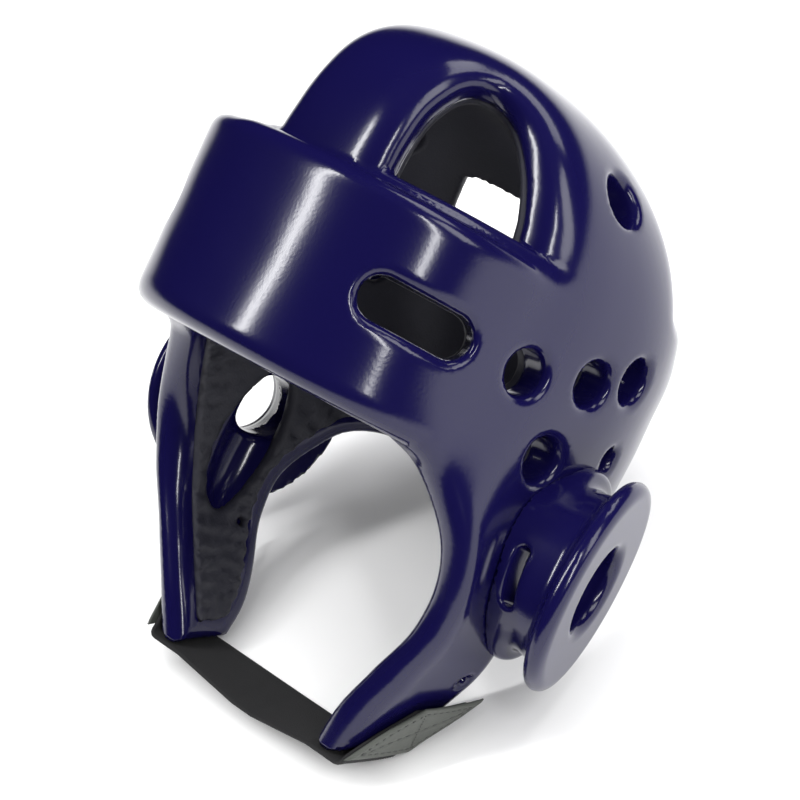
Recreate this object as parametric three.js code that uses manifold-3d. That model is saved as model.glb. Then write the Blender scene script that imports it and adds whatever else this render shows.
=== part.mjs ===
// Taekwondo headgear of dipped foam, pitched back as it rests on a table.
// Millimetres. The pieces are modelled upright in the head frame: X to the wearer's left,
// Y to the back, Z up, with the origin on the line through the ear holes.

import * as THREE from 'three';
import { mergeVertices } from 'three/addons/utils/BufferGeometryUtils.js';
import Module from 'manifold-3d';

const wasm = await Module();
wasm.setup();

// Head form
const REST_PITCH = THREE.MathUtils.degToRad(58.2);
const HALF_WIDTH = 92;
const HALF_LENGTH = 104;
const MIDDLE_Y = -31;
const DOME_BASE = 80;
const CROWN_TOP = 173;
const APEX_SHIFT = -34;
const CHEEK_DROP = 108;
const PLAN_POWER = 2.3;
const DOME_POWER = 2.25;
const FOAM = 19;

// Outward swell of the front of the cheek guards
const SWELL = 9;
const SWELL_Y = -62;
const SWELL_Z = -20;
const SWELL_LENGTH = 34;
const SWELL_HEIGHT = 42;

// Brow band
const BAND_TOP = 101;
const BROW_EDGE = 16;
const BROW_PROUD = 18;
const BROW_PROUD_LOW = 12;
const BAND_FADE = 1.45;
const NAPE_PROUD = 4;
const BAND_SINK = 5;

// Lining
const LINING_THICKNESS = 2;
const GAP = 0.3;

// Upper windows, as shares of their width and height
const WINDOW_WIDTH = 50;
const WINDOW_HEIGHT = 43;
const WINDOW_BEARING = 49;
const WINDOW_CENTRE_X = 59;
const WINDOW_CENTRE_Y = -108;
const WINDOW_LIP = 105;
const WINDOW_FLARE_WIDTH = 0.4;
const WINDOW_FLARE_HEIGHT = 0.25;
const WINDOW_FLARE_FROM = 0.33;
const WINDOW_INWARD = 2 * FOAM;
const WINDOW_OUTWARD = FOAM;

// Rear windows
const REAR_WIDTH = 50;
const REAR_HEIGHT = 34;
const REAR_BEARING = 146;
const REAR_LIP = 114;

// Brow slots
const SLOT_LENGTH = 48;
const SLOT_HEIGHT = 18;
const SLOT_BEARING = 50;
const SLOT_X = 71;
const SLOT_Y = -114;
const SLOT_LEVEL = 60;

// Vents
const VENT_RADIUS = 9.5;
const SMALL_VENT_RADIUS = 5;
const UPPER_VENT_RADIUS = 10.5;
const CROWN_VENT_RADIUS = 9;
const CROWN_VENT_Y = -18;

// Ear cups
const EAR_HOLE_RADIUS = 14;
const EAR_HOLE_Y = -14;
const CUP_TILT = THREE.MathUtils.degToRad(25);
const CUP_REACH = 120;
const RING_WIDTH = 80;
const RING_HEIGHT = 93;
const RING_DEPTH = 9;
const RING_HOLE_RADIUS = 18;
const RING_TAPER = 0.97;
const NECK_SHARE = 0.8;
const NECK_WAIST = 0.85;
const MOUND_WIDTH = 60;
const MOUND_HEIGHT = 86;
const MOUND_RISE = 8;
const SLIT_LENGTH = 24;
const SLIT_WIDTH = 5.5;
const SLIT_DEPTH = 40;
const SLIT_X = 107;
const SLIT_Y = -31;
const SLIT_Z = -9;

// Chin strap and its patches
const STRAP_WIDTH = 30;
const STRAP_SAG = 6;
const SAG_TURN = THREE.MathUtils.degToRad(38);
const STRAP_THICKNESS = 2;
const STRAP_END = 34;
const STRAP_TAIL = 50;
const TAIL_LIFT = 4;
const PATCH_WIDTH = 33;
const PATCH_HEIGHT = 36;
const PATCH_FROM_EDGE = 2;
const PATCH_THICKNESS = 2;
const STRAP_CLEAR = 3 * GAP;
const STRAP_BELOW = 4 * GAP;
const PATCH_LIFT = 4.2;

// Level in shares of the dome base above the ears and of the cheek drop below them
const SECTIONS = [
  { level: -1.3, width: 0.54, front: 0.82, back: 0.78 },
  { level: -1.0, width: 0.69, front: 0.86, back: 0.83 },
  { level: -0.83, width: 0.77, front: 0.89, back: 0.86 },
  { level: -0.65, width: 0.88, front: 0.92, back: 0.9 },
  { level: -0.42, width: 0.99, front: 0.96, back: 0.93 },
  { level: 0.0, width: 1.0, front: 1.0, back: 0.96 },
  { level: 0.6, width: 1.01, front: 1.0, back: 0.98 },
  { level: 1.0, width: 1.0, front: 1.0, back: 0.97 },
  { level: 2.3, width: 1.0, front: 1.0, back: 0.93 },
];

// Front edge of the cheek guard from the side, shares of the half length and of the cheek drop
const CHEEK_FRONT = [
  { y: -0.77, z: 0.09 },
  { y: -0.6, z: -0.09 },
  { y: -0.49, z: -0.28 },
  { y: -0.42, z: -0.46 },
  { y: -0.37, z: -0.65 },
  { y: -0.32, z: -0.83 },
];

// Lower edge from the cheek guard's toe, up behind the ear and round to the nape
const LOWER_EDGE = [
  { y: 0.077, z: -0.74 },
  { y: 0.087, z: -0.574 },
  { y: 0.067, z: -0.39 },
  { y: 0.067, z: -0.23 },
  { y: 0.135, z: -0.074 },
  { y: 0.23, z: 0.056 },
  { y: 0.385, z: 0.13 },
  { y: 0.58, z: 0.14 },
];

const BROW_CORNER = -0.9;
const TOE_FRONT = { y: -0.25, z: -1.01 };
const TOE_BACK = { y: 0.01, z: -0.907 };

// Vent places: y and level in shares of the half length and the dome base
const SIDE_VENTS = [
  { y: -0.615, level: 0.775, radius: VENT_RADIUS },
  { y: -0.27, level: 0.89, radius: VENT_RADIUS },
  { y: -0.02, level: 1.01, radius: VENT_RADIUS },
  { y: -0.345, level: 0.44, radius: VENT_RADIUS },
  { y: 0.08, level: 0.6, radius: SMALL_VENT_RADIUS },
  { y: -0.4, level: 1.78, radius: UPPER_VENT_RADIUS },
];

// Outline of a window from its lower front corner, shares of its width and height
const WINDOW_OUTLINE = [
  { u: 0.0, v: 0.26 },
  { u: 0.04, v: 0.6 },
  { u: 0.18, v: 0.9 },
  { u: 0.38, v: 1.0 },
  { u: 0.62, v: 0.88 },
  { u: 0.82, v: 0.58 },
  { u: 0.95, v: 0.24 },
];

// Facets round and down the outer and inner faces
const OUTER_FACETS = [40, 24];
const INNER_FACETS = [26, 16];

const FLOOR = -CHEEK_DROP - 40;
const HEART = new THREE.Vector3(0, MIDDLE_Y, 40);

function levelHeight(level) {
  return level < 0 ? level * CHEEK_DROP : level * DOME_BASE;
}

// Smooth curve through one column of the section table
function sectionShare(column, z) {
  const last = SECTIONS.length - 1;
  const heights = SECTIONS.map((row) => levelHeight(row.level));
  let i = 0;
  while (i < last - 1 && z > heights[i + 1]) i += 1;
  const span = heights[i + 1] - heights[i];
  const t = THREE.MathUtils.clamp((z - heights[i]) / span, 0, 1);
  const value = (k) => SECTIONS[THREE.MathUtils.clamp(k, 0, last)][column];
  const height = (k) => heights[THREE.MathUtils.clamp(k, 0, last)];
  const slope = (k) => (value(k + 1) - value(k - 1)) / (height(k + 1) - height(k - 1));
  const a = value(i);
  const b = value(i + 1);
  const bend = span * (slope(i) * t * (1 - t) ** 2 - slope(i + 1) * t * t * (1 - t));
  return a + (b - a) * t * t * (3 - 2 * t) + bend;
}

function swell(y, z) {
  return SWELL * Math.exp(-(((y - SWELL_Y) / SWELL_LENGTH) ** 2) - ((z - SWELL_Z) / SWELL_HEIGHT) ** 2);
}

// One on the surface of the head form drawn in by an inset, less inside it
function headField(x, y, z, inset) {
  const rise = Math.max(0, (z - DOME_BASE) / (CROWN_TOP - inset - DOME_BASE));
  const fromMiddle = y - MIDDLE_Y - APEX_SHIFT * rise ** 2;
  const side = fromMiddle < 0 ? 'front' : 'back';
  const width = HALF_WIDTH * sectionShare('width', z) + swell(y, z) - inset;
  const length = HALF_LENGTH * sectionShare(side, z) - inset;
  const across = Math.abs(x) / width;
  const along = Math.abs(fromMiddle) / length;
  const plan = (across ** PLAN_POWER + along ** PLAN_POWER) ** (1 / PLAN_POWER);
  return (plan ** DOME_POWER + rise ** DOME_POWER) ** (1 / DOME_POWER);
}

// Distance from a point to the head form along a direction
function reach(from, direction, inset) {
  let near = 0;
  let far = 320;
  for (let step = 0; step < 28; step += 1) {
    const middle = (near + far) / 2;
    const p = from.clone().addScaledVector(direction, middle);
    if (headField(p.x, p.y, p.z, inset) < 1) near = middle;
    else far = middle;
  }
  return near;
}

// Half width of the head form at a place in the side view
function sideReach(y, z) {
  return reach(new THREE.Vector3(0, y, z), new THREE.Vector3(1, 0, 0), 0);
}

function positionsOnly(geometry) {
  const bare = geometry.clone();
  bare.deleteAttribute('normal');
  bare.deleteAttribute('uv');
  return mergeVertices(bare, 1e-4);
}

function moveVertices(geometry, place) {
  const merged = positionsOnly(geometry);
  const position = merged.getAttribute('position');
  const point = new THREE.Vector3();
  for (let i = 0; i < position.count; i += 1) {
    point.fromBufferAttribute(position, i);
    place(point);
    position.setXYZ(i, point.x, point.y, point.z);
  }
  return merged;
}

function toSolid(geometry) {
  const merged = positionsOnly(geometry);
  return new wasm.Manifold(new wasm.Mesh({
    numProp: 3,
    vertProperties: new Float32Array(merged.getAttribute('position').array),
    triVerts: new Uint32Array(merged.getIndex().array),
  }));
}

function toGeometry(solid) {
  const mesh = solid.getMesh();
  const geometry = new THREE.BufferGeometry();
  geometry.setAttribute('position', new THREE.BufferAttribute(mesh.vertProperties, 3));
  geometry.setIndex(new THREE.BufferAttribute(mesh.triVerts, 1));
  geometry.computeVertexNormals();
  return geometry;
}

// Head form as a ball pushed out to the head surface, cut level at the bottom
function headBall(facets, inset) {
  const ball = new THREE.SphereGeometry(1, ...facets);
  ball.rotateX(Math.PI / 2);
  return toSolid(moveVertices(ball, (point) => {
    const direction = point.clone().normalize();
    let distance = reach(HEART, direction, inset);
    const down = HEART.z + distance * direction.z;
    if (down < FLOOR) distance *= (HEART.z - FLOOR) / (HEART.z - down);
    point.copy(HEART).addScaledVector(direction, distance);
  }));
}

// How far the band stands out of the head form at a bearing and height
function bandProud(bearing, z) {
  const front = Math.max(0, Math.cos(bearing)) ** 2;
  const back = Math.max(0, -Math.cos(bearing)) ** 2;
  const lift = THREE.MathUtils.clamp((z - BROW_EDGE) / (BAND_TOP - BROW_EDGE), 0, 1);
  const proud = THREE.MathUtils.lerp(BROW_PROUD_LOW, BROW_PROUD, lift);
  const brow = (proud + BAND_SINK) * Math.min(1, BAND_FADE * front);
  return brow + (NAPE_PROUD + BAND_SINK) * back - BAND_SINK;
}

function bandSolid() {
  const height = BAND_TOP - FLOOR;
  const drum = new THREE.CylinderGeometry(1, 1, height, 40, 7);
  drum.rotateX(Math.PI / 2);
  drum.translate(0, 0, (BAND_TOP + FLOOR) / 2);
  return toSolid(moveVertices(drum, (point) => {
    const radius = Math.hypot(point.x, point.y);
    const from = new THREE.Vector3(0, MIDDLE_Y, point.z);
    if (radius < 0.5) {
      point.copy(from);
      return;
    }
    const direction = new THREE.Vector3(point.x, point.y, 0).normalize();
    const bearing = Math.atan2(Math.abs(direction.x), -direction.y);
    point.copy(from).addScaledVector(direction, reach(from, direction, 0) + bandProud(bearing, point.z));
  }));
}

// Outline in the side view, extruded across the head
function sidePrism(shape) {
  const depth = 4 * HALF_WIDTH;
  const prism = new THREE.ExtrudeGeometry(shape, { depth, bevelEnabled: false, curveSegments: 2 });
  prism.translate(0, 0, -depth / 2);
  const turn = new THREE.Matrix4().makeBasis(
    new THREE.Vector3(0, 1, 0),
    new THREE.Vector3(0, 0, 1),
    new THREE.Vector3(1, 0, 0),
  );
  prism.applyMatrix4(turn);
  return toSolid(prism);
}

function sidePoint(row) {
  return new THREE.Vector2(row.y * HALF_LENGTH, row.z * CHEEK_DROP);
}

// Everything in front of the cheek guards and below the lower edge
function openingCutter() {
  const outside = 3 * HALF_LENGTH;
  const shape = new THREE.Shape();
  shape.moveTo(-outside, BROW_EDGE);
  shape.lineTo(BROW_CORNER * HALF_LENGTH, BROW_EDGE);
  shape.splineThru([...CHEEK_FRONT.map(sidePoint), sidePoint(TOE_FRONT)]);
  shape.lineTo(sidePoint(TOE_BACK).x, sidePoint(TOE_BACK).y);
  shape.splineThru(LOWER_EDGE.map(sidePoint));
  const nape = sidePoint(LOWER_EDGE[LOWER_EDGE.length - 1]);
  shape.lineTo(outside, nape.y);
  shape.lineTo(outside, 2 * FLOOR);
  shape.lineTo(-outside, 2 * FLOOR);
  shape.closePath();
  return sidePrism(shape);
}

// Frame on the head: out along a bearing, u towards the back, v up
function bearingFrame(degrees) {
  const angle = THREE.MathUtils.degToRad(degrees);
  const out = new THREE.Vector3(Math.sin(angle), -Math.cos(angle), 0);
  const along = new THREE.Vector3(Math.cos(angle), Math.sin(angle), 0);
  const turn = new THREE.Matrix4().makeBasis(along, new THREE.Vector3(0, 0, 1), out);
  return { out, turn };
}

function mirrored(solid, side) {
  return side > 0 ? solid : solid.mirror([1, 0, 0]);
}

// Window cutter: its outline widens outwards, and its lip stays level
function windowCutter(width, height, bearing, centre, lip, side) {
  const shape = new THREE.Shape();
  shape.moveTo(0, 0);
  shape.splineThru(WINDOW_OUTLINE.map((row) => new THREE.Vector2(row.u * width, row.v * height)));
  shape.lineTo(width, 0);
  shape.closePath();
  const prism = new THREE.ExtrudeGeometry(shape, {
    depth: WINDOW_INWARD + WINDOW_OUTWARD,
    bevelEnabled: false,
    curveSegments: 2,
  });
  const flared = moveVertices(prism, (point) => {
    const flare = point.z / WINDOW_INWARD;
    const fixed = width * WINDOW_FLARE_FROM;
    const u = fixed + (point.x - fixed) * (1 + WINDOW_FLARE_WIDTH * flare);
    point.set(u - width / 2, point.y * (1 + WINDOW_FLARE_HEIGHT * flare), point.z - WINDOW_INWARD);
  });
  flared.applyMatrix4(bearingFrame(bearing).turn);
  flared.translate(centre.x, centre.y, lip);
  return mirrored(toSolid(flared), side);
}

function frontWindow(side) {
  const centre = new THREE.Vector2(WINDOW_CENTRE_X, WINDOW_CENTRE_Y);
  return windowCutter(WINDOW_WIDTH, WINDOW_HEIGHT, WINDOW_BEARING, centre, WINDOW_LIP, side);
}

function rearWindow(side) {
  const { out } = bearingFrame(REAR_BEARING);
  const from = new THREE.Vector3(0, MIDDLE_Y, REAR_LIP);
  const spot = from.clone().addScaledVector(out, reach(from, out, 0));
  return windowCutter(REAR_WIDTH, REAR_HEIGHT, REAR_BEARING, spot, REAR_LIP, side);
}

function browSlot(side) {
  const half = SLOT_LENGTH / 2 - SLOT_HEIGHT / 2;
  const shape = new THREE.Shape();
  shape.absarc(half, 0, SLOT_HEIGHT / 2, -Math.PI / 2, Math.PI / 2, false);
  shape.absarc(-half, 0, SLOT_HEIGHT / 2, Math.PI / 2, Math.PI * 1.5, false);
  const depth = 6 * FOAM;
  const prism = new THREE.ExtrudeGeometry(shape, { depth, bevelEnabled: false, curveSegments: 5 });
  prism.translate(0, 0, -depth / 2);
  prism.applyMatrix4(bearingFrame(SLOT_BEARING).turn);
  prism.translate(SLOT_X, SLOT_Y, SLOT_LEVEL);
  return mirrored(toSolid(prism), side);
}

// Outward direction of the head form at a point on it
function outwardAt(point) {
  const step = 0.5;
  const field = (dx, dy, dz) => headField(point.x + dx, point.y + dy, point.z + dz, 0);
  return new THREE.Vector3(
    field(step, 0, 0) - field(-step, 0, 0),
    field(0, step, 0) - field(0, -step, 0),
    field(0, 0, step) - field(0, 0, -step),
  ).normalize();
}

function drill(point, direction, radius, depth) {
  const bar = new THREE.CylinderGeometry(radius, radius, depth, 12);
  bar.rotateX(Math.PI / 2);
  const turn = new THREE.Quaternion().setFromUnitVectors(new THREE.Vector3(0, 0, 1), direction);
  bar.applyQuaternion(turn);
  bar.translate(point.x, point.y, point.z);
  return toSolid(bar);
}

function sideVents(side) {
  return SIDE_VENTS.map((row) => {
    const y = row.y * HALF_LENGTH;
    const z = row.level * DOME_BASE;
    const point = new THREE.Vector3(sideReach(y, z), y, z);
    return mirrored(drill(point, outwardAt(point), row.radius, 4 * FOAM), side);
  });
}

function earHole(side) {
  const point = new THREE.Vector3(HALF_WIDTH, EAR_HOLE_Y, 0);
  return mirrored(drill(point, new THREE.Vector3(1, 0, 0), EAR_HOLE_RADIUS, 5 * FOAM), side);
}

function crownVent() {
  const point = new THREE.Vector3(0, CROWN_VENT_Y, CROWN_TOP);
  return drill(point, new THREE.Vector3(0, 0, 1), CROWN_VENT_RADIUS, 4 * FOAM);
}

function allHoles() {
  const holes = [crownVent()];
  for (const side of [1, -1]) {
    holes.push(frontWindow(side), rearWindow(side), browSlot(side), earHole(side), ...sideVents(side));
  }
  return holes;
}

function cutAll(solid, cutters) {
  return cutters.reduce((rest, cutter) => rest.subtract(cutter), solid);
}

function foamShell(cutters) {
  const outer = headBall(OUTER_FACETS, 0).add(bandSolid());
  return cutAll(outer.subtract(headBall(INNER_FACETS, FOAM)), cutters);
}

function liningSkin(cutters) {
  const outer = headBall(INNER_FACETS, FOAM + GAP);
  const inner = headBall(INNER_FACETS, FOAM + GAP + LINING_THICKNESS);
  return cutAll(outer.subtract(inner), cutters);
}

// Ear cup parts stand along the cup's own axis: Z out of the ear, X towards the front
function cupPiece(width, height, waist, bottom, top) {
  const drum = new THREE.CylinderGeometry(0.5, 0.5 * waist, top - bottom, 32, 1);
  drum.rotateX(Math.PI / 2);
  drum.scale(width, height, 1);
  drum.translate(0, 0, (top + bottom) / 2);
  return drum;
}

function placeCup(geometry) {
  geometry.rotateY(Math.PI / 2);
  geometry.rotateX(Math.PI / 2);
  geometry.rotateZ(CUP_TILT);
  geometry.translate(CUP_REACH, 0, 0);
  return toSolid(geometry);
}

function cupRing() {
  return placeCup(cupPiece(RING_HEIGHT, RING_WIDTH, RING_TAPER, -RING_DEPTH, 0));
}

function cupNeck() {
  const height = RING_HEIGHT * NECK_SHARE;
  const width = RING_WIDTH * NECK_SHARE;
  return placeCup(cupPiece(height, width, NECK_WAIST, -4 * RING_DEPTH, 1 - RING_DEPTH));
}

function cupHole() {
  const across = 2 * RING_HOLE_RADIUS;
  return placeCup(cupPiece(across, across, 1, -CUP_REACH / 2, RING_DEPTH));
}

// Low oval pad under the neck, sunk into the side of the head
function cupMound() {
  const bottom = HALF_WIDTH - FOAM;
  const top = HALF_WIDTH + MOUND_RISE;
  const mound = new THREE.CylinderGeometry(0.5, 0.5, top - bottom, 28, 1);
  mound.rotateZ(-Math.PI / 2);
  mound.scale(1, MOUND_WIDTH, MOUND_HEIGHT);
  mound.translate((top + bottom) / 2, 0, 0);
  return toSolid(mound);
}

function soundSlit() {
  const slit = new THREE.BoxGeometry(SLIT_WIDTH, SLIT_DEPTH, SLIT_LENGTH);
  slit.translate(SLIT_X, SLIT_Y, SLIT_Z);
  return toSolid(slit);
}

function earCup(side) {
  const body = cupRing().add(cupNeck()).add(cupMound());
  const seat = headBall(OUTER_FACETS, -GAP);
  return mirrored(body.subtract(cupHole()).subtract(soundSlit()).subtract(seat), side);
}

// A place on the outer face of the cheek guard's toe: across the strap and up the face
const TOE_MIDDLE = sidePoint(TOE_FRONT).add(sidePoint(TOE_BACK)).multiplyScalar(0.5);
const ALONG_TOE = sidePoint(TOE_BACK).sub(sidePoint(TOE_FRONT)).normalize();
const UP_FACE = new THREE.Vector2(0.34, 0.94).normalize();

function toePlace(across, up) {
  return TOE_MIDDLE.clone().addScaledVector(ALONG_TOE, across).addScaledVector(UP_FACE, up);
}

// Strap route on one side: up the face in millimetres, and how far it is drawn in from the face
function strapRoute() {
  return [
    { up: STRAP_END, inward: -STRAP_CLEAR },
    { up: STRAP_END / 2, inward: -STRAP_CLEAR },
    { up: STRAP_END / 4, inward: -STRAP_CLEAR },
    { up: STRAP_BELOW * 3, inward: -STRAP_CLEAR },
    { up: 0, inward: -STRAP_BELOW },
    { up: -STRAP_BELOW, inward: GAP },
    { up: -STRAP_BELOW, inward: FOAM / 2 },
    { up: -STRAP_BELOW, inward: FOAM },
    { up: -STRAP_BELOW, inward: FOAM * 1.5 },
    { up: -STRAP_BELOW, inward: FOAM * 2 },
    { up: -STRAP_BELOW, inward: FOAM * 3 },
  ];
}

// Free end past the right patch, lifting off the face
function strapTail() {
  return [
    { up: STRAP_TAIL, inward: -STRAP_CLEAR - TAIL_LIFT },
    { up: PATCH_FROM_EDGE + PATCH_HEIGHT + STRAP_THICKNESS, inward: -STRAP_CLEAR },
  ];
}

function strapPoint(step, across, side) {
  const place = toePlace(across, step.up);
  const face = sideReach(place.x, Math.max(place.y, -CHEEK_DROP));
  const point = new THREE.Vector3(side * (face - step.inward), place.x, place.y);
  const middle = Math.max(0, Math.min(1, (step.inward - FOAM) / (2 * FOAM)));
  const sag = STRAP_SAG * middle * (0.5 - across / STRAP_WIDTH);
  return point.add(new THREE.Vector3(0, sag * Math.sin(SAG_TURN), -sag * Math.cos(SAG_TURN)));
}

function chinStrap() {
  const right = [...strapTail(), ...strapRoute()].reverse();
  const steps = [
    ...strapRoute().map((row) => ({ ...row, side: 1 })),
    ...right.map((row) => ({ ...row, side: -1 })),
  ];
  const pointAt = (i, across) => {
    const k = THREE.MathUtils.clamp(i, 0, steps.length - 1);
    return strapPoint(steps[k], across, steps[k].side);
  };
  const count = steps.length - 1;
  const band = new THREE.BoxGeometry(count, 2, 1, count, 2, 1);
  return toSolid(moveVertices(band, (point) => {
    const i = Math.round(point.x + count / 2);
    const across = (point.y * STRAP_WIDTH) / 2;
    const here = pointAt(i, across);
    const along = pointAt(i + 1, across).sub(pointAt(i - 1, across)).normalize();
    const over = new THREE.Vector3(0, ALONG_TOE.x, ALONG_TOE.y);
    const outward = new THREE.Vector3().crossVectors(along, over).normalize();
    const layer = point.z > 0 ? STRAP_THICKNESS : 0;
    point.copy(here).addScaledVector(outward, layer);
  }));
}

function strapPatch(side) {
  const plate = new THREE.BoxGeometry(2, 2, 1, 4, 4, 1);
  return mirrored(toSolid(moveVertices(plate, (point) => {
    const up = PATCH_FROM_EDGE + ((point.y + 1) * PATCH_HEIGHT) / 2;
    const place = toePlace((point.x * PATCH_WIDTH) / 2, up);
    const layer = PATCH_LIFT + (point.z > 0 ? PATCH_THICKNESS : 0);
    point.set(sideReach(place.x, place.y) + layer, place.x, place.y);
  })), side);
}

function material(color, roughness) {
  return new THREE.MeshStandardMaterial({ color, roughness, metalness: 0 });
}

const vinyl = material(0x1b1560, 0.12);
const slate = material(0x26262f, 0.8);
const webbing = material(0x202022, 0.85);
const leather = material(0x5c5e58, 0.55);

const head = new THREE.Group();
head.rotation.x = -REST_PITCH;

function addPiece(name, solid, finish) {
  const mesh = new THREE.Mesh(toGeometry(solid), finish);
  mesh.name = name;
  head.add(mesh);
}

const opening = openingCutter();
const cutters = [opening, ...allHoles()];
addPiece('foam_shell', foamShell(cutters), vinyl);
addPiece('lining', liningSkin(cutters), slate);
addPiece('ear_cup_left', earCup(1), vinyl);
addPiece('ear_cup_right', earCup(-1), vinyl);
addPiece('chin_strap', chinStrap(), webbing);
addPiece('strap_patch_left', strapPatch(1), leather);
addPiece('strap_patch_right', strapPatch(-1), leather);

// The lowest point stands on the floor, with the origin below the middle of the box
const model = new THREE.Group();
model.add(head);
model.updateMatrixWorld(true);
const box = new THREE.Box3().setFromObject(model, true);
const middle = box.getCenter(new THREE.Vector3());
head.position.set(-middle.x, -middle.y, -box.min.z);

export default model;
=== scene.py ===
# Taekwondo headgear: visible surfaces over the CAD solids, with the studio and the camera.
# Lengths are in millimetres in the head frame: X to the wearer's left, Y to the back, Z up,
# with the origin on the line through the ear holes. Finished pieces are in metres.

import math

import bpy
import numpy as np
from mathutils import Matrix, Vector


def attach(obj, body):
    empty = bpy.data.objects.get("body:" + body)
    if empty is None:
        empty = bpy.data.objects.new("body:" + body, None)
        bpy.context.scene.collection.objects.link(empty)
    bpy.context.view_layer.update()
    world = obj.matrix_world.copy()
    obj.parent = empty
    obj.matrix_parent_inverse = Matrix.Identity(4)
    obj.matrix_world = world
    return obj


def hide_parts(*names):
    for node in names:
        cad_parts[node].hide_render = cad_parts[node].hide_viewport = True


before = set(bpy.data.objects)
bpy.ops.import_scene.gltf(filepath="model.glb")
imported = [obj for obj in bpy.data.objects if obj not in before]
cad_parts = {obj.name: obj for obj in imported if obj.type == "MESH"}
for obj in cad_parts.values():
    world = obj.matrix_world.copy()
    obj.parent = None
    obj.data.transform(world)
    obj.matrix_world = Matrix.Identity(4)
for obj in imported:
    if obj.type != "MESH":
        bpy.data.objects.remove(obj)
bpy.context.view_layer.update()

# Head form
REST_PITCH = math.radians(58.2)
PHOTO_PITCH = math.radians(38)
HALF_WIDTH = 92
HALF_LENGTH = 104
MIDDLE_Y = -31
DOME_BASE = 80
CROWN_TOP = 173
APEX_SHIFT = -34
CHEEK_DROP = 108
PLAN_POWER = 2.3
DOME_POWER = 2.25
FOAM = 19

# Outward swell of the front of the cheek guards
SWELL = {"size": 14, "y": -62, "z": -20, "length": 34, "height": 42}

# Brow band
BAND_TOP = 101
BROW_EDGE = 16
BROW_PROUD = 18
BROW_PROUD_LOW = 12
BAND_FADE = 1.45
NAPE_PROUD = 4
BAND_SINK = 5
BAND_ROUND = 9
BAND_CREASE = 2

# Rounding of the cut edges
EDGE_ROUND = 10
HOLE_ROUND = 5
WINDOW_ROUND = 8

# Windows
WINDOW = {"width": 50, "height": 43, "bearing": 49, "x": 59, "y": -108, "lip": 105}
REAR_WINDOW = {"width": 50, "height": 34, "bearing": 146, "lip": 114}
FLARE_WIDTH = 0.54
FLARE_HEIGHT = 0.3
FLARE_FROM = 0.33
FLARE_POWER = 1.5

# Brow slots
SLOT_LENGTH = 48
SLOT_HEIGHT = 18
SLOT_BEARING = 50
SLOT_X = 71
SLOT_Y = -114
SLOT_LEVEL = 60

# Vents
VENT_RADIUS = 9.5
SMALL_VENT_RADIUS = 5
UPPER_VENT_RADIUS = 10.5
CROWN_VENT_RADIUS = 9
CROWN_VENT_Y = -18
PIN_HOLE = {"y": -3, "z": -58, "radius": 2}

# Ear cups
EAR_HOLE_RADIUS = 14
EAR_HOLE_Y = -14
CUP_TILT = math.radians(25)
CUP_REACH = 120
RING_WIDTH = 80
RING_HEIGHT = 93
RING_DEPTH = 9
RING_HOLE_RADIUS = 18
NECK_SHARE = 0.8
NECK_WAIST = 0.85
MOUND_WIDTH = 60
MOUND_HEIGHT = 86
MOUND_RISE = 8
SLIT = {"x": 107, "y": -31, "z": -9, "width": 5.5, "length": 24, "depth": 40}

# Lining
LINING_GAP = 0.3
LINING_THICKNESS = 2
LINING_MARGIN = 10
GATHER_PITCH = 8
GATHER_DEPTH = 1.5
GATHER_FADE = 11
POCKET = {"deep": 10, "long": 13, "high": 34, "y": -20, "z": -16}

# Chin strap and patches
STRAP_WIDTH = 30
STRAP_SAG = 6
PATCH_LIFT = 4.2
STRAP_THICKNESS = 2
STRAP_END = 34
STRAP_TAIL = 50
TAIL_LIFT = 4
STRAP_CLEAR = 0.9
STRAP_BELOW = 1.2
PATCH_WIDTH = 33
PATCH_HEIGHT = 36
PATCH_FROM_EDGE = 2
PATCH_THICKNESS = 2

# Level in shares of the dome base above the ears and of the cheek drop below them
SECTIONS = [
    {"level": -1.3, "width": 0.54, "front": 0.82, "back": 0.78},
    {"level": -1.0, "width": 0.69, "front": 0.86, "back": 0.83},
    {"level": -0.83, "width": 0.77, "front": 0.89, "back": 0.86},
    {"level": -0.65, "width": 0.88, "front": 0.92, "back": 0.9},
    {"level": -0.42, "width": 0.99, "front": 0.96, "back": 0.93},
    {"level": 0.0, "width": 1.0, "front": 1.0, "back": 0.96},
    {"level": 0.6, "width": 1.01, "front": 1.0, "back": 0.98},
    {"level": 1.0, "width": 1.0, "front": 1.0, "back": 0.97},
    {"level": 2.3, "width": 1.0, "front": 1.0, "back": 0.93},
]

# Front edge of the cheek guard from the side, shares of the half length and of the cheek drop
BROW_CORNER = -0.9
CHEEK_FRONT = [
    (-0.77, 0.09),
    (-0.6, -0.09),
    (-0.49, -0.28),
    (-0.42, -0.46),
    (-0.37, -0.65),
    (-0.32, -0.83),
]
TOE_FRONT = (-0.25, -1.01)
TOE_BACK = (0.01, -0.907)
LOWER_EDGE = [
    (0.077, -0.74),
    (0.087, -0.574),
    (0.067, -0.39),
    (0.067, -0.23),
    (0.135, -0.074),
    (0.23, 0.056),
    (0.385, 0.13),
    (0.58, 0.14),
]

# Vents: y in shares of the half length, level in shares of the dome base
SIDE_VENTS = [
    {"y": -0.615, "level": 0.775, "radius": VENT_RADIUS},
    {"y": -0.27, "level": 0.89, "radius": VENT_RADIUS},
    {"y": -0.02, "level": 1.01, "radius": VENT_RADIUS},
    {"y": -0.345, "level": 0.44, "radius": VENT_RADIUS},
    {"y": 0.08, "level": 0.6, "radius": SMALL_VENT_RADIUS},
    {"y": -0.4, "level": 1.78, "radius": UPPER_VENT_RADIUS},
]

# Outline of a window from its lower front corner, shares of its width and height
WINDOW_OUTLINE = [
    (0.0, 0.0),
    (0.0, 0.26),
    (0.04, 0.6),
    (0.18, 0.9),
    (0.38, 1.0),
    (0.62, 0.88),
    (0.82, 0.58),
    (0.95, 0.24),
    (1.0, 0.0),
]

GRID = 2.3
CUP_GRID = 1.4


# ---- Smooth joins ----

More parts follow.
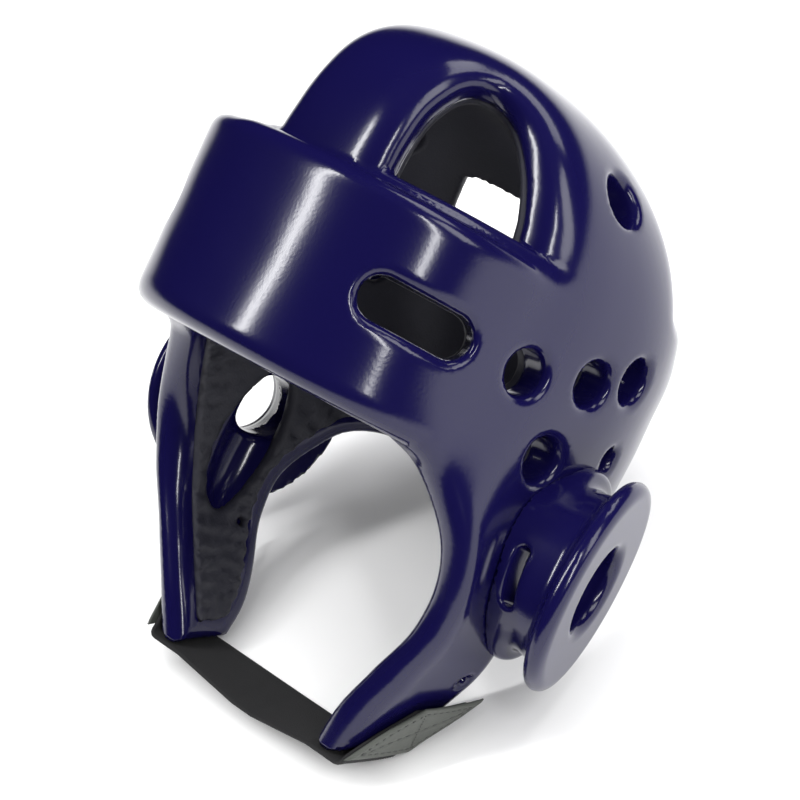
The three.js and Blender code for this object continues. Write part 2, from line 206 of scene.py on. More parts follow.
def smooth_least(a, b, k):
    h = np.clip(0.5 + 0.5 * (b - a) / k, 0, 1)
    return b * (1 - h) + a * h - k * h * (1 - h)


def smooth_most(a, b, k):
    return -smooth_least(-a, -b, k)


# ---- Head form ----

def level_height(level):
    return level * CHEEK_DROP if level < 0 else level * DOME_BASE


HEIGHTS = np.array([level_height(row["level"]) for row in SECTIONS], float)


def section_share(column, z):
    values = np.array([row[column] for row in SECTIONS], float)
    slopes = np.gradient(values)
    slopes[1:-1] = (values[2:] - values[:-2]) / (HEIGHTS[2:] - HEIGHTS[:-2])
    slopes[0] = (values[1] - values[0]) / (HEIGHTS[1] - HEIGHTS[0])
    slopes[-1] = (values[-1] - values[-2]) / (HEIGHTS[-1] - HEIGHTS[-2])
    i = np.clip(np.searchsorted(HEIGHTS, z) - 1, 0, len(HEIGHTS) - 2)
    span = HEIGHTS[i + 1] - HEIGHTS[i]
    t = np.clip((z - HEIGHTS[i]) / span, 0, 1)
    bend = span * (slopes[i] * t * (1 - t) ** 2 - slopes[i + 1] * t * t * (1 - t))
    return values[i] + (values[i + 1] - values[i]) * t * t * (3 - 2 * t) + bend


def swell(y, z):
    along = (y - SWELL["y"]) / SWELL["length"]
    up = (z - SWELL["z"]) / SWELL["height"]
    return SWELL["size"] * np.exp(-along ** 2 - up ** 2)


def head_value(x, y, z, inset):
    rise = np.maximum(0, (z - DOME_BASE) / (CROWN_TOP - inset - DOME_BASE))
    from_middle = y - MIDDLE_Y - APEX_SHIFT * rise ** 2
    width = HALF_WIDTH * section_share("width", z) + swell(y, z) - inset
    front = HALF_LENGTH * section_share("front", z) - inset
    back = HALF_LENGTH * section_share("back", z) - inset
    length = np.where(from_middle < 0, front, back)
    across = np.maximum(np.abs(x), 1e-3) / width
    along = np.maximum(np.abs(from_middle), 1e-3) / length
    plan = (across ** PLAN_POWER + along ** PLAN_POWER) ** (1 / PLAN_POWER)
    return (plan ** DOME_POWER + rise ** DOME_POWER) ** (1 / DOME_POWER)


def head_distance(x, y, z, inset=0.0):
    step = 0.5
    here = head_value(x, y, z, inset)
    dx = (head_value(x + step, y, z, inset) - here) / step
    dy = (head_value(x, y + step, z, inset) - here) / step
    dz = (head_value(x, y, z + step, inset) - here) / step
    return (here - 1) / np.maximum(np.sqrt(dx * dx + dy * dy + dz * dz), 2e-3)


def band_proud(x, y, z):
    ahead = -(y - MIDDLE_Y)
    share = ahead / np.maximum(np.hypot(x, ahead), 1e-3)
    front = np.maximum(0, share) ** 2
    back = np.maximum(0, -share) ** 2
    lift = np.clip((z - BROW_EDGE) / (BAND_TOP - BROW_EDGE), 0, 1)
    proud = BROW_PROUD_LOW + (BROW_PROUD - BROW_PROUD_LOW) * lift
    full = smooth_least(np.ones_like(front), BAND_FADE * front, 0.3)
    return (proud + BAND_SINK) * full + (NAPE_PROUD + BAND_SINK) * back - BAND_SINK


def outer_distance(x, y, z):
    head = head_distance(x, y, z)
    band = smooth_most(head - band_proud(x, y, z), z - BAND_TOP, BAND_ROUND)
    return smooth_least(head, band, BAND_CREASE)


def side_reach(y, z):
    near, far = 0.0, 200.0
    for _ in range(40):
        middle = (near + far) / 2
        inside = head_value(np.array([middle]), np.array([float(y)]), np.array([float(z)]), 0)[0] < 1
        near, far = (middle, far) if inside else (near, middle)
    return near


def bearing_spot(bearing, z):
    turn = math.radians(bearing)
    near, far = 0.0, 300.0
    for _ in range(40):
        middle = (near + far) / 2
        x, y = middle * math.sin(turn), MIDDLE_Y - middle * math.cos(turn)
        inside = head_value(np.array([x]), np.array([y]), np.array([float(z)]), 0)[0] < 1
        near, far = (middle, far) if inside else (near, middle)
    return near * math.sin(turn), MIDDLE_Y - near * math.cos(turn)


# ---- Outlines ----

def curve_through(points, steps=8):
    p = [np.array(q, float) for q in points]
    p = [2 * p[0] - p[1]] + p + [2 * p[-1] - p[-2]]
    out = []
    for i in range(1, len(p) - 2):
        for k in range(steps):
            t = k / steps
            a = -p[i - 1] + 3 * p[i] - 3 * p[i + 1] + p[i + 2]
            b = 2 * p[i - 1] - 5 * p[i] + 4 * p[i + 1] - p[i + 2]
            c = p[i + 1] - p[i - 1]
            out.append(0.5 * (a * t ** 3 + b * t ** 2 + c * t + 2 * p[i]))
    out.append(p[-2])
    return out


class Outline:
    """Closed outline with a table of signed distance (less than nought inside) and of length along it."""

    def __init__(self, points, low, high, step):
        self.low = np.array(low, float)
        self.step = step
        count = np.ceil((np.array(high) - self.low) / step).astype(int) + 1
        u = self.low[0] + np.arange(count[0]) * step
        v = self.low[1] + np.arange(count[1]) * step
        self.distance, self.length = self.measure(np.array(points), *np.meshgrid(u, v, indexing="ij"))

    @staticmethod
    def measure(points, u, v):
        nearest = np.full(u.shape, 1e9)
        length = np.zeros(u.shape)
        inside = np.zeros(u.shape, bool)
        run = 0.0
        for a, b in zip(points, np.roll(points, -1, axis=0)):
            edge = b - a
            size = math.hypot(*edge)
            if size < 1e-9:
                continue
            t = np.clip(((u - a[0]) * edge[0] + (v - a[1]) * edge[1]) / size ** 2, 0, 1)
            gap = np.hypot(u - a[0] - t * edge[0], v - a[1] - t * edge[1])
            closer = gap < nearest
            nearest = np.where(closer, gap, nearest)
            length = np.where(closer, run + t * size, length)
            if edge[1] != 0:
                crosses = (a[1] > v) != (b[1] > v)
                inside ^= crosses & (u < a[0] + (v - a[1]) * edge[0] / edge[1])
            run += size
        return np.where(inside, -nearest, nearest), length

    def look(self, table, u, v):
        fu = np.clip((u - self.low[0]) / self.step, 0, table.shape[0] - 1.001)
        fv = np.clip((v - self.low[1]) / self.step, 0, table.shape[1] - 1.001)
        i, j = fu.astype(int), fv.astype(int)
        a, b = fu - i, fv - j
        low = table[i, j] * (1 - a) + table[i + 1, j] * a
        high = table[i, j + 1] * (1 - a) + table[i + 1, j + 1] * a
        return low * (1 - b) + high * b

    def __call__(self, u, v):
        return self.look(self.distance, u, v)

    def along(self, u, v):
        fu = np.clip(np.rint((u - self.low[0]) / self.step), 0, self.length.shape[0] - 1).astype(int)
        fv = np.clip(np.rint((v - self.low[1]) / self.step), 0, self.length.shape[1] - 1).astype(int)
        return self.length[fu, fv]


def side_point(row):
    return np.array([row[0] * HALF_LENGTH, row[1] * CHEEK_DROP])


def opening_outline():
    far = 400
    corner = (BROW_CORNER * HALF_LENGTH, BROW_EDGE)
    front = curve_through([corner] + [side_point(row) for row in CHEEK_FRONT + [TOE_FRONT]])
    lower = curve_through([side_point(row) for row in [TOE_BACK] + LOWER_EDGE])
    nape = lower[-1][1]
    points = [(-far, BROW_EDGE)] + front + lower + [(far, nape), (far, -far), (-far, -far)]
    return Outline(points, (-175, -150), (105, 190), 0.5)


OPENING = opening_outline()
WINDOW_SHAPE = Outline(
    [(0.0, 0.0)] + curve_through(WINDOW_OUTLINE)[1:], (-1.2, -1.2), (2.2, 2.2), 0.01
)


# ---- Cuts ----

def bearing_axes(bearing):
    turn = math.radians(bearing)
    return (math.sin(turn), -math.cos(turn)), (math.cos(turn), math.sin(turn))


def window_distance(x, y, z, window, centre):
    out, along = bearing_axes(window["bearing"])
    dx, dy = np.abs(x) - centre[0], y - centre[1]
    depth = dx * out[0] + dy * out[1]
    flare = np.clip(1 + head_distance(x, y, z) / FOAM, 0, 1.3) ** FLARE_POWER
    fixed = (FLARE_FROM - 0.5) * window["width"]
    u = fixed + (dx * along[0] + dy * along[1] - fixed) / (1 + FLARE_WIDTH * flare)
    v = (z - window["lip"]) / (1 + FLARE_HEIGHT * flare)
    size = min(window["width"], window["height"])
    value = WINDOW_SHAPE(u / window["width"] + 0.5, v / window["height"]) * size
    return np.maximum(value, -depth - 2.5 * FOAM)


def slot_distance(x, y, z):
    out, along = bearing_axes(SLOT_BEARING)
    dx, dy = np.abs(x) - SLOT_X, y - SLOT_Y
    u = dx * along[0] + dy * along[1]
    depth = dx * out[0] + dy * out[1]
    half = (SLOT_LENGTH - SLOT_HEIGHT) / 2
    round_end = np.maximum(np.abs(u) - half, 0)
    slot = np.hypot(round_end, z - SLOT_LEVEL) - SLOT_HEIGHT / 2
    return np.maximum(slot, -depth - 3 * FOAM)


def drill_distance(x, y, z, point, direction, radius):
    dx, dy, dz = np.abs(x) - point[0], y - point[1], z - point[2]
    depth = dx * direction[0] + dy * direction[1] + dz * direction[2]
    off = np.sqrt(np.maximum(dx * dx + dy * dy + dz * dz - depth * depth, 1e-6))
    return np.maximum(off - radius, -depth - 2 * FOAM)


def outward_at(point):
    step = 0.5
    base = [np.array([float(c)]) for c in point]

    def value(axis, shift):
        moved = [c + (shift if k == axis else 0) for k, c in enumerate(base)]
        return head_value(*moved, 0)[0]

    slope = np.array([value(k, step) - value(k, -step) for k in range(3)])
    return slope / np.linalg.norm(slope)


def vent_list():
    vents = []
    for row in SIDE_VENTS:
        y, z = row["y"] * HALF_LENGTH, row["level"] * DOME_BASE
        point = (side_reach(y, z), y, z)
        vents.append((point, outward_at(point), row["radius"]))
    vents.append(((0, CROWN_VENT_Y, CROWN_TOP), (0, 0, 1), CROWN_VENT_RADIUS))
    pin = (side_reach(PIN_HOLE["y"], PIN_HOLE["z"]), PIN_HOLE["y"], PIN_HOLE["z"])
    vents.append((pin, outward_at(pin), PIN_HOLE["radius"]))
    return vents


VENTS = vent_list()
REAR_SPOT = bearing_spot(REAR_WINDOW["bearing"], REAR_WINDOW["lip"])
FRONT_SPOT = (WINDOW["x"], WINDOW["y"])


def cut_windows(value, x, y, z, rounding):
    value = smooth_most(value, -window_distance(x, y, z, WINDOW, FRONT_SPOT), rounding)
    return smooth_most(value, -window_distance(x, y, z, REAR_WINDOW, REAR_SPOT), rounding)


def cut_vents(value, x, y, z, rounding):
    value = smooth_most(value, -slot_distance(x, y, z), rounding)
    for point, direction, radius in VENTS:
        value = smooth_most(value, -drill_distance(x, y, z, point, direction, radius), rounding)
    return value


def waver(x, y, z):
    soft = np.sin(x / 23 + 1.3) * np.sin(y / 19 + 0.4) * np.sin(z / 27 + 2.1)
    fine = np.sin(x / 9 + z / 13) * np.sin(y / 11 - z / 8)
    return 0.35 * soft + 0.08 * fine


# ---- Solids as distance fields ----

def pocket_distance(x, y, z):
    inner = HALF_WIDTH - FOAM
    dx = (np.abs(x) - inner) / POCKET["deep"]
    dy = (y - POCKET["y"]) / POCKET["long"]
    dz = (z - POCKET["z"]) / POCKET["high"]
    return (np.sqrt(dx ** 2 + dy ** 2 + dz ** 2) - 1) * POCKET["deep"]


def shell_field(x, y, z):
    value = outer_distance(x, y, z) + waver(x, y, z)
    value = smooth_most(value, -head_distance(x, y, z, FOAM), EDGE_ROUND / 2)
    value = smooth_most(value, -OPENING(y, z), EDGE_ROUND)
    value = cut_windows(value, x, y, z, WINDOW_ROUND)
    value = cut_vents(value, x, y, z, HOLE_ROUND)
    ear = np.maximum(np.hypot(y - EAR_HOLE_Y, z) - EAR_HOLE_RADIUS, HALF_WIDTH / 2 - np.abs(x))
    value = smooth_most(value, -ear, 2)
    return smooth_most(value, -pocket_distance(x, y, z), 4)


def gathers(y, z):
    edge = OPENING(y, z)
    run = OPENING.along(y, z)
    wave = 0.5 + 0.5 * np.sin(2 * math.pi * run / GATHER_PITCH + 1.7 * np.sin(run / 17))
    return GATHER_DEPTH * wave * np.exp(-np.maximum(edge - LINING_MARGIN, 0) / GATHER_FADE)


def lining_field(x, y, z):
    outer = head_distance(x, y, z, FOAM - 4)
    puffed = head_distance(x, y, z, FOAM + LINING_GAP + LINING_THICKNESS) + gathers(y, z)
    value = smooth_most(outer, -puffed, 1)
    value = smooth_most(value, LINING_MARGIN - OPENING(y, z), 3)
    value = cut_windows(value, x, y, z, 2)
    value = cut_vents(value, x, y, z, 2)
    across = (y - POCKET["y"]) / POCKET["long"]
    oval = (np.hypot(across, (z - POCKET["z"]) / POCKET["high"]) - 1) * POCKET["long"]
    ear = np.maximum(oval, HALF_WIDTH / 3 - np.abs(x))
    return smooth_most(value, -ear, 3)


def cup_axes(x, y, z):
    dx = np.abs(x) - CUP_REACH
    out = dx * math.cos(CUP_TILT) + y * math.sin(CUP_TILT)
    across = -dx * math.sin(CUP_TILT) + y * math.cos(CUP_TILT)
    return out, across, z


def oval_distance(u, v, width, height):
    a, b = width / 2, height / 2
    k1 = np.sqrt((u / a) ** 2 + (v / b) ** 2) + 1e-6
    k2 = np.sqrt((u / a ** 2) ** 2 + (v / b ** 2) ** 2) + 1e-6
    return k1 * (k1 - 1) / k2


def cup_field(x, y, z):
    out, across, up = cup_axes(x, y, z)
    ring = oval_distance(across, up, RING_WIDTH, RING_HEIGHT)
    ring = smooth_most(ring, np.abs(out + RING_DEPTH / 2) - RING_DEPTH / 2, 6)
    waist = NECK_SHARE * (1 - 0.15 * np.clip((-out - RING_DEPTH) / (3 * RING_DEPTH), 0, 1.4))
    neck = oval_distance(across / waist, up / waist, RING_WIDTH, RING_HEIGHT) * waist
    neck = np.maximum(neck, out + RING_DEPTH / 2)
    mound = oval_distance(y, z, MOUND_WIDTH, MOUND_HEIGHT)
    head = head_distance(np.abs(x), y, z)
    mound = smooth_most(mound, head - MOUND_RISE, 7)
    value = smooth_least(smooth_least(ring, neck, 4), mound, 7)
    hole = np.hypot(across, up) - RING_HOLE_RADIUS
    value = smooth_most(value, -hole, 5)
    slit_u = np.maximum(np.abs(z - SLIT["z"]) - (SLIT["length"] - SLIT["width"]) / 2, 0)
    slit = np.hypot(np.abs(x) - SLIT["x"], slit_u) - SLIT["width"] / 2
    slit = np.maximum(slit, np.abs(y - SLIT["y"]) - SLIT["depth"] / 2)
    value = smooth_most(value, -slit, 2.5)
    return np.maximum(value, -head)


# ---- Meshing ----

BLOCK = 3
NEAR_SHARE = 2.4
CORNERS = [(0, 0, 0), (1, 0, 0), (0, 1, 0), (1, 1, 0), (0, 0, 1), (1, 0, 1), (0, 1, 1), (1, 1, 1)]


def cell_points(values, cells):
    total = np.zeros((len(cells), 3))
    count = np.zeros(len(cells))
    at = [values[tuple((cells + c).T)] for c in CORNERS]
    for a in range(8):
        for b in range(a + 1, 8):
            step = np.array(CORNERS[b]) - np.array(CORNERS[a])
            if np.abs(step).sum() != 1:
                continue
            cross = (at[a] < 0) != (at[b] < 0)
            t = np.where(cross, at[a] / np.where(cross, at[a] - at[b], 1), 0)
            total += np.where(cross[:, None], np.array(CORNERS[a]) + t[:, None] * step, 0)
            count += cross
    return total / count[:, None]


def net_faces(values, index):
    inside = values < 0
    faces = []
    for axis in range(3):
        u, v = (axis + 1) % 3, (axis + 2) % 3
        low = [slice(None)] * 3
        high = [slice(None)] * 3
        low[axis] = slice(0, -1)
        high[axis] = slice(1, None)
        changes = inside[tuple(low)] != inside[tuple(high)]
        spots = np.argwhere(changes)
        keep = (spots[:, u] > 0) & (spots[:, v] > 0)
        keep &= (spots[:, u] < values.shape[u] - 1) & (spots[:, v] < values.shape[v] - 1)
        spots = spots[keep]
        du, dv = np.zeros(3, int), np.zeros(3, int)
        du[u], dv[v] = 1, 1
        ring = [spots - du - dv, spots - dv, spots, spots - du]
        quad = np.stack([index[tuple(r.T)] for r in ring], axis=1)
        flip = ~inside[tuple(spots.T)]
        quad[flip] = quad[flip][:, ::-1]
        faces.append(quad)
    return np.concatenate(faces)


def slope_of(field, p, value, step=0.3):
    grad = []
    for axis in range(3):
        shift = np.zeros(3)
        shift[axis] = step
        grad.append(field(*(p + shift).T) - value)
    return np.stack(grad, axis=1) / step


def settle(field, points, rounds=2):
    for _ in range(rounds):
        value = field(*points.T)
        grad = slope_of(field, points, value)
        size = np.maximum((grad ** 2).sum(1), 0.05)
        points = points - np.clip(value / size, -1.5, 1.5)[:, None] * grad
    grad = slope_of(field, points, field(*points.T))
    return points, grad / np.maximum(np.linalg.norm(grad, axis=1), 1e-9)[:, None]


def near_values(field, axes, step):
    """Field on the grid: in full near the surface, and in blocks of cells away from it."""
    coarse = [axis[::BLOCK] for axis in axes]
    rough = field(*np.meshgrid(*coarse, indexing="ij"))
    spread = np.repeat(np.repeat(np.repeat(rough, BLOCK, 0), BLOCK, 1), BLOCK, 2)
    values = spread[:len(axes[0]), :len(axes[1]), :len(axes[2])]
    near = np.argwhere(np.abs(values) < NEAR_SHARE * BLOCK * step)
    spots = [axis[column] for axis, column in zip(axes, near.T)]
    values[tuple(near.T)] = field(*spots)
    return values


def net(field, low, high, step):
    axes = [np.arange(a, b + step, step) for a, b in zip(low, high)]
    values = near_values(field, axes, step)
    inside = values < 0
    corner = [inside[i:inside.shape[0] - 1 + i, j:inside.shape[1] - 1 + j, k:inside.shape[2] - 1 + k]
              for i, j, k in CORNERS]
    mixed = np.any(corner, axis=0) & ~np.all(corner, axis=0)
    cells = np.argwhere(mixed)
    index = np.full(mixed.shape, -1)
    index[tuple(cells.T)] = np.arange(len(cells))
    points = (cells + cell_points(values, cells)) * step + np.array(low)
    points, normals = settle(field, points)
    return points, net_faces(values, index), normals


# ---- Placing in the row frame ----

HEAD = np.array([0, -13.387, 54.601])
TURN = np.array([
    [1, 0, 0],
    [0, math.cos(REST_PITCH), math.sin(REST_PITCH)],
    [0, -math.sin(REST_PITCH), math.cos(REST_PITCH)],
])


def to_row(points):
    return (np.asarray(points) @ TURN.T + HEAD) / 1000


def add_mesh(name, points, faces, node, material, normals=None):
    mesh = bpy.data.meshes.new(name)
    mesh.from_pydata([tuple(p) for p in to_row(points)], [], [tuple(f) for f in faces])
    mesh.validate()
    mesh.materials.append(material)
    mesh.shade_smooth()
    if normals is not None and len(mesh.vertices) == len(points):
        mesh.normals_split_custom_set_from_vertices([tuple(n) for n in normals @ TURN.T])
    piece = bpy.data.objects.new(name, mesh)
    bpy.context.scene.collection.objects.link(piece)
    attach(piece, "root")
    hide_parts(node)
    return piece


# ---- Materials ----

def principled(name, **values):
    material = bpy.data.materials.new(name)
    material.use_nodes = True
    shader = material.node_tree.nodes["Principled BSDF"]
    for socket, value in values.items():
        shader.inputs[socket.replace("_", " ")].default_value = value
    return material, shader


def add_bump(material, shader, scale, strength, distance, detail=2.0):
    tree = material.node_tree
    where = tree.nodes.new("ShaderNodeTexCoord")
    noise = tree.nodes.new("ShaderNodeTexNoise")
    noise.inputs["Scale"].default_value = scale
    noise.inputs["Detail"].default_value = detail
    bump = tree.nodes.new("ShaderNodeBump")
    bump.inputs["Strength"].default_value = strength
    bump.inputs["Distance"].default_value = distance
    tree.links.new(where.outputs["Object"], noise.inputs["Vector"])
    tree.links.new(noise.outputs["Fac"], bump.inputs["Height"])
    tree.links.new(bump.outputs["Normal"], shader.inputs["Normal"])


def vinyl_material():
    material, shader = principled(
        "vinyl", Base_Color=(0.004, 0.003, 0.036, 1), Roughness=0.16, IOR=1.45,
    )
    add_bump(material, shader, 700, 0.06, 0.0004)
    return material


def lining_material():
    material, shader = principled("lining", Base_Color=(0.013, 0.013, 0.022, 1), Roughness=0.62)
    add_bump(material, shader, 900, 0.35, 0.0005, 4)
    return material


def webbing_material():
    material, shader = principled("webbing", Base_Color=(0.014, 0.014, 0.015, 1), Roughness=0.85)
    add_bump(material, shader, 1600, 0.5, 0.0004)
    return material


def patch_material():
    material, shader = principled("patch", Base_Color=(0.06, 0.065, 0.057, 1), Roughness=0.5)
    add_bump(material, shader, 1200, 0.3, 0.0003, 4)
    return material


def thread_material():
    material, _ = principled("thread", Base_Color=(0.05, 0.052, 0.05, 1), Roughness=0.7)
    return material


VINYL = vinyl_material()
LINING = lining_material()
WEBBING = webbing_material()
PATCH = patch_material()
THREAD = thread_material()


# ---- Foam pieces ----

def build_shell():
    points, faces, normals = net(shell_field, (-116, -168, -122), (116, 92, 182), GRID)
    piece = add_mesh("shell", points, faces, "foam_shell", VINYL, normals)


def build_lining():
    points, faces, normals = net(lining_field, (-92, -125, -118), (92, 70, 160), GRID)
    add_mesh("inner_lining", points, faces, "lining", LINING, normals)


def build_cups():
    for side, name in ((1, "left"), (-1, "right")):
        low, high = (70, -56, -56), (142, 60, 56)
        points, faces, normals = net(cup_field, low, high, CUP_GRID)
        flip = np.array([side, 1, 1])
        faces = faces if side > 0 else faces[:, ::-1]
        piece = add_mesh(f"cup_{name}", points * flip, faces, f"ear_cup_{name}", VINYL, normals * flip)


# ---- Strap and patches ----

TOE_MIDDLE = (side_point(TOE_FRONT) + side_point(TOE_BACK)) / 2
ALONG_TOE = side_point(TOE_BACK) - side_point(TOE_FRONT)
ALONG_TOE = ALONG_TOE / np.linalg.norm(ALONG_TOE)
UP_FACE = np.array([0.34, 0.94]) / math.hypot(0.34, 0.94)


def toe_place(across, up):
    return TOE_MIDDLE + ALONG_TOE * across + UP_FACE * up


def strap_route():
    return [
        (STRAP_END, -STRAP_CLEAR),
        (STRAP_END / 2, -STRAP_CLEAR),
        (STRAP_END / 4, -STRAP_CLEAR),
        (STRAP_BELOW * 3, -STRAP_CLEAR),
        (0, -STRAP_BELOW),
        (-STRAP_BELOW, 0.3),
        (-STRAP_BELOW, FOAM / 2),
        (-STRAP_BELOW, FOAM),
        (-STRAP_BELOW, FOAM * 1.5),
        (-STRAP_BELOW, FOAM * 2),
        (-STRAP_BELOW, FOAM * 3),
    ]


def strap_tail():
    return [
        (STRAP_TAIL, -STRAP_CLEAR - TAIL_LIFT),
        (PATCH_FROM_EDGE + PATCH_HEIGHT + STRAP_THICKNESS, -STRAP_CLEAR),
    ]


def strap_line(across):
    rows = [(up, inward, 1) for up, inward in strap_route()]
    rows += [(up, inward, -1) for up, inward in (strap_tail() + strap_route())[::-1]]
    points = []
    for up, inward, side in rows:
        y, z = toe_place(across, up)
        face = side_reach(y, max(z, -CHEEK_DROP))
        middle = min(max((inward - FOAM) / (2 * FOAM), 0), 1)
        sag = STRAP_SAG * middle * (0.5 - across / STRAP_WIDTH)
        y, z = y + sag * math.sin(PHOTO_PITCH), z - sag * math.cos(PHOTO_PITCH)
        points.append((side * (face - inward), y, z))
    return points


def even_steps(points, count):
    points = np.array(points)
    run = np.concatenate([[0], np.cumsum(np.linalg.norm(np.diff(points, axis=0), axis=1))])
    at = np.linspace(0, run[-1], count)
    return np.stack([np.interp(at, run, points[:, k]) for k in range(3)], axis=1)


def strip(lines, thickness, rib):
    """Closed band over parallel lines, with ribs along it and rounded edges."""
    lines = np.array(lines)
    along = np.gradient(lines, axis=1)
    over = np.gradient(lines, axis=0)
    out = np.cross(along, over)
    out /= np.linalg.norm(out, axis=2)[:, :, None]
    rows, columns = lines.shape[:2]
    place = np.linspace(-1, 1, rows)
    edge = np.sqrt(np.maximum(1 - np.abs(place) ** 24, 0))
    ribs = rib * np.cos(np.arange(rows) * math.pi)
    top = lines + out * ((thickness / 2) * (1 + edge) + ribs * edge)[:, None, None]
    bottom = lines + out * ((thickness / 2) * (1 - edge))[:, None, None]
    points = np.concatenate([top.reshape(-1, 3), bottom.reshape(-1, 3)])
    size = rows * columns
    faces = []
    for i in range(rows - 1):
        for j in range(columns - 1):
            a, b = i * columns + j, (i + 1) * columns + j
            faces.append((a, a + 1, b + 1, b))
            faces.append((size + b, size + b + 1, size + a + 1, size + a))
    for i in range(rows - 1):
        a, b = i * columns, (i + 1) * columns
        faces.append((a, b, size + b, size + a))
        a, b = a + columns - 1, b + columns - 1
        faces.append((b, a, size + a, size + b))
    for j in range(columns - 1):
        a, b = j, (rows - 1) * columns + j
        faces.append((a + 1, a, size + a, size + a + 1))
        faces.append((b, b + 1, size + b + 1, size + b))
    return points, faces


def build_strap():
    ribs = 45
    lines = [even_steps(strap_line(a), 160) for a in np.linspace(-STRAP_WIDTH / 2, STRAP_WIDTH / 2, ribs)]
    points, faces = strip(lines, STRAP_THICKNESS, 0.1)
    add_mesh("strap_webbing", points, faces, "chin_strap", WEBBING)


def patch_point(across, up, layer):
    y, z = toe_place(across, up)
    return np.array([side_reach(y, z) + layer, y, z])


def patch_grid(side):
    count = 41
    spots = np.linspace(-1, 1, count)
    points = []
    for layer_side in (1, 0):
        for u in spots:
            for v in spots:
                edge = (1 - abs(u) ** 30) * (1 - abs(v) ** 30)
                across = u * PATCH_WIDTH / 2
                up = PATCH_FROM_EDGE + (v + 1) * PATCH_HEIGHT / 2
                seam = stitch_dip(u, v)
                layer = PATCH_LIFT + layer_side * (PATCH_THICKNESS * (0.4 + 0.6 * edge) - seam)
                points.append(patch_point(across, up, layer) * (side, 1, 1))
    return np.array(points), count


def stitch_dip(u, v):
    box = min(abs(max(abs(u), abs(v)) - 0.8), 1)
    cross = min(abs(u - v), abs(u + v)) / math.sqrt(2)
    gap = min(box, cross if max(abs(u), abs(v)) < 0.8 else 1)
    return 0.5 * math.exp(-(gap / 0.06) ** 2)


def build_patch(side, name):
    points, n = patch_grid(side)
    size = n * n
    faces = []
    for i in range(n - 1):
        for j in range(n - 1):
            a, b = i * n + j, (i + 1) * n + j
            faces.append((a, b, b + 1, a + 1))
            faces.append((size + a, size + a + 1, size + b + 1, size + b))
    for k in range(n - 1):
        rim = [(k, k + 1), ((n - 1) * n + k + 1, (n - 1) * n + k), ((k + 1) * n, k * n)]
        rim.append((k * n + n - 1, (k + 1) * n + n - 1))
        for a, b in rim:
            faces.append((a, b, size + b, size + a))
    faces = [f[::-1] for f in faces] if side < 0 else faces
    add_mesh(f"patch_{name}", points, faces, f"strap_patch_{name}", PATCH)


def stitch_runs():
    q = 0.8
    corners = [(-q, -q), (q, -q), (q, q), (-q, q)]
    runs = list(zip(corners, corners[1:] + corners[:1]))
    return runs + [((-q, -q), (q, q)), ((q, -q), (-q, q))]


def build_stitches(side, name):
    ball_points, ball_faces = small_ball(8, 5)
    points, faces = [], []
    base = PATCH_LIFT + PATCH_THICKNESS - 0.45
    for start, end in stitch_runs():
        a, b = np.array(start), np.array(end)
        half = np.array([PATCH_WIDTH, PATCH_HEIGHT]) / 2
        length = np.linalg.norm((b - a) * half)
        count = int(length // 3)
        for k in range(count):
            mid = a + (b - a) * (k + 0.5) / count
            centre = patch_point(mid[0] * half[0], PATCH_FROM_EDGE + (mid[1] + 1) * half[1], base)
            step = (b - a) * half / length
            run = ALONG_TOE * step[0] + UP_FACE * step[1]
            along = np.array([0, run[0], run[1]])
            across = np.array([0, -run[1], run[0]])
            local = ball_points * (0.35, 1.15, 0.35)
            spot = centre + local[:, :1] * (1, 0, 0) + local[:, 1:2] * along + local[:, 2:] * across
            faces += [tuple(i + len(points) * len(ball_points) for i in f) for f in ball_faces]
            points.append(spot * (side, 1, 1))
    add_mesh(f"stitch_{name}", np.concatenate(points), faces, f"strap_patch_{name}", THREAD)


def small_ball(columns, rows):
    points = [(0, 0, 1)]
    for i in range(1, rows):
        for j in range(columns):
            a, b = math.pi * i / rows, 2 * math.pi * j / columns
            points.append((math.sin(a) * math.cos(b), math.sin(a) * math.sin(b), math.cos(a)))
    points.append((0, 0, -1))
    faces = []
    for j in range(columns):
        k = (j + 1) % columns
        faces.append((0, 1 + j, 1 + k))
        last = 1 + (rows - 2) * columns
        faces.append((len(points) - 1, last + k, last + j))
        for i in range(rows - 2):
            a = 1 + i * columns
            faces.append((a + j, a + columns + j, a + columns + k, a + k))
    return np.array(points), faces


# ---- Studio ----

def build_floor():
    material, _ = principled("floor", Base_Color=(0.92, 0.92, 0.92, 1), Roughness=0.9)
    bpy.ops.mesh.primitive_plane_add(size=12, location=(0, 0, 0))
    floor = bpy.context.object
    floor.name = "studio_floor"
    floor.data.materials.append(material)


def lean():
    """Turn about the ear line from the head's pitch in the photograph to its pitch at rest."""
    place = Matrix.Translation(Vector(HEAD / 1000))
    return place @ Matrix.Rotation(PHOTO_PITCH - REST_PITCH, 4, "X")


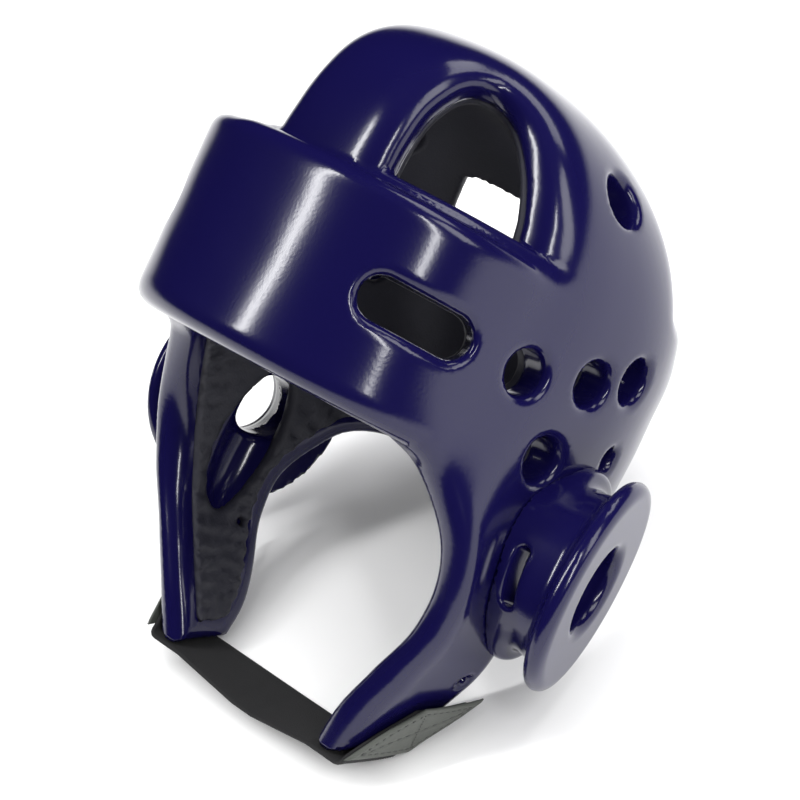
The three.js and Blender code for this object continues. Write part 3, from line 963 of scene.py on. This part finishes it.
def add_light(name, place, size, power):
    """Light box that faces the head. Its place is from the ear line, as the photograph's view has it."""
    light = bpy.data.lights.new(name, "AREA")
    light.shape = "RECTANGLE"
    light.size, light.size_y = size
    light.energy = power
    lamp = bpy.data.objects.new(name, light)
    facing = (-Vector(place)).to_track_quat("-Z", "Y").to_matrix().to_4x4()
    lamp.matrix_world = lean() @ Matrix.Translation(Vector(place)) @ facing
    bpy.context.scene.collection.objects.link(lamp)
    return lamp


def build_lights():
    add_light("strip_left", (-0.9, -1.6, 1.4), (0.2, 1.3), 26)
    add_light("strip_right", (1.4, -0.7, 0.9), (0.14, 1.0), 12)
    add_light("box_right", (1.9, 0.3, 1.4), (0.8, 1.4), 18)
    add_light("box_back", (0.3, 1.2, 2.0), (1.4, 0.8), 14)
    fill = add_light("fill", (0.1, -0.2, 2.5), (2.5, 2.5), 60)
    fill.visible_glossy = False


def build_world():
    world = bpy.data.worlds.new("studio")
    world.use_nodes = True
    world.node_tree.nodes["Background"].inputs["Color"].default_value = (1, 1, 1, 1)
    world.node_tree.nodes["Background"].inputs["Strength"].default_value = 0.55
    world.cycles_visibility.glossy = False
    bpy.context.scene.world = world


def build_camera():
    """The photograph's view, turned back with the head from its pitch in the photograph to its rest."""
    azimuth, elevation = math.radians(50), math.radians(26.5)
    look = Vector((
        -math.sin(azimuth) * math.cos(elevation),
        math.cos(azimuth) * math.cos(elevation),
        -math.sin(elevation),
    ))
    camera = bpy.data.cameras.new("camera")
    camera.lens = 117
    camera.sensor_width = 36
    view = bpy.data.objects.new("camera", camera)
    upright = look.to_track_quat("-Z", "Y").to_matrix().to_4x4()
    place = Matrix.Translation(Vector((0.7479, -0.6287, 0.5261)))
    view.matrix_world = lean() @ place @ upright
    bpy.context.scene.collection.objects.link(view)
    bpy.context.scene.camera = view


build_shell()
build_lining()
build_cups()
build_strap()
for side, name in ((1, "left"), (-1, "right")):
    build_patch(side, name)
    build_stitches(side, name)
build_floor()
build_lights()
build_world()
build_camera()
bpy.context.scene.view_settings.view_transform = "Standard"
